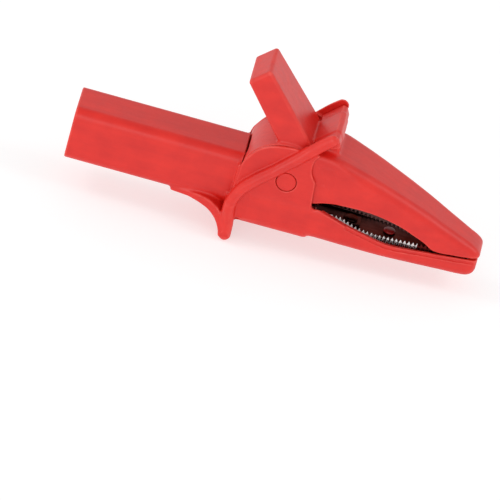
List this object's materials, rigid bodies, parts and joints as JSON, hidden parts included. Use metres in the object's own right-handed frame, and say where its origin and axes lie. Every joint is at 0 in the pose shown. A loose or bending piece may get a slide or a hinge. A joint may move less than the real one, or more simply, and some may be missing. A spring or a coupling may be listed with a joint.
{
  "type": "alligator clip",
  "caption": "Insulated spring clip with a square barrel for a shrouded plug, finger guards, a thumb lever and toothed metal jaws in plastic covers.",
  "frame": {"origin": "centre of the bounding box in plan, at the lowest point of the finger guard", "axes": "+X from the barrel's socket to the nose, +Z to the lever's side, the pivot lies along Y, and the closed jaws meet in a plane along X"},
  "size_m": [0.0848, 0.0186, 0.0376],
  "materials": {
    "red_plastic": "satin moulded",
    "jaw_steel": "nickel plated",
    "pin_steel": "drawn",
    "spring_steel": "oiled wire",
    "white_plastic": "turned",
    "contact_brass": "turned",
    "black_plastic": "moulded"
  },
  "bodies": {
    "body": {"fixed_shell": "red_plastic", "pivot_pin": "pin_steel", "pin_cap_near": "red_plastic", "pin_cap_far": "red_plastic", "spring_sleeve": "white_plastic", "washer_left": "pin_steel", "washer_right": "pin_steel", "torsion_spring": "spring_steel", "lower_jaw_channel": "jaw_steel", "lower_peg": "red_plastic", "contact_sleeve": "contact_brass", "contact_bush": "black_plastic", "contact_tongue": "jaw_steel", "sleeve_rivet": "pin_steel", "tongue_rivet": "pin_steel"},
    "lever": {"moving_shell": "red_plastic", "upper_jaw_channel": "jaw_steel", "upper_peg": "red_plastic"}
  },
  "joints": [
    {"name": "jaw_pivot", "type": "hinge", "parent": "body", "child": "lever", "pos_m": [0.00153, 0, 0.0159], "axis": [0, -1, 0], "range_deg": [0, 28], "stiffness_Nm_per_rad": 0.25, "springref_deg": -20.05, "deforming": ["torsion_spring"]}
  ]
}
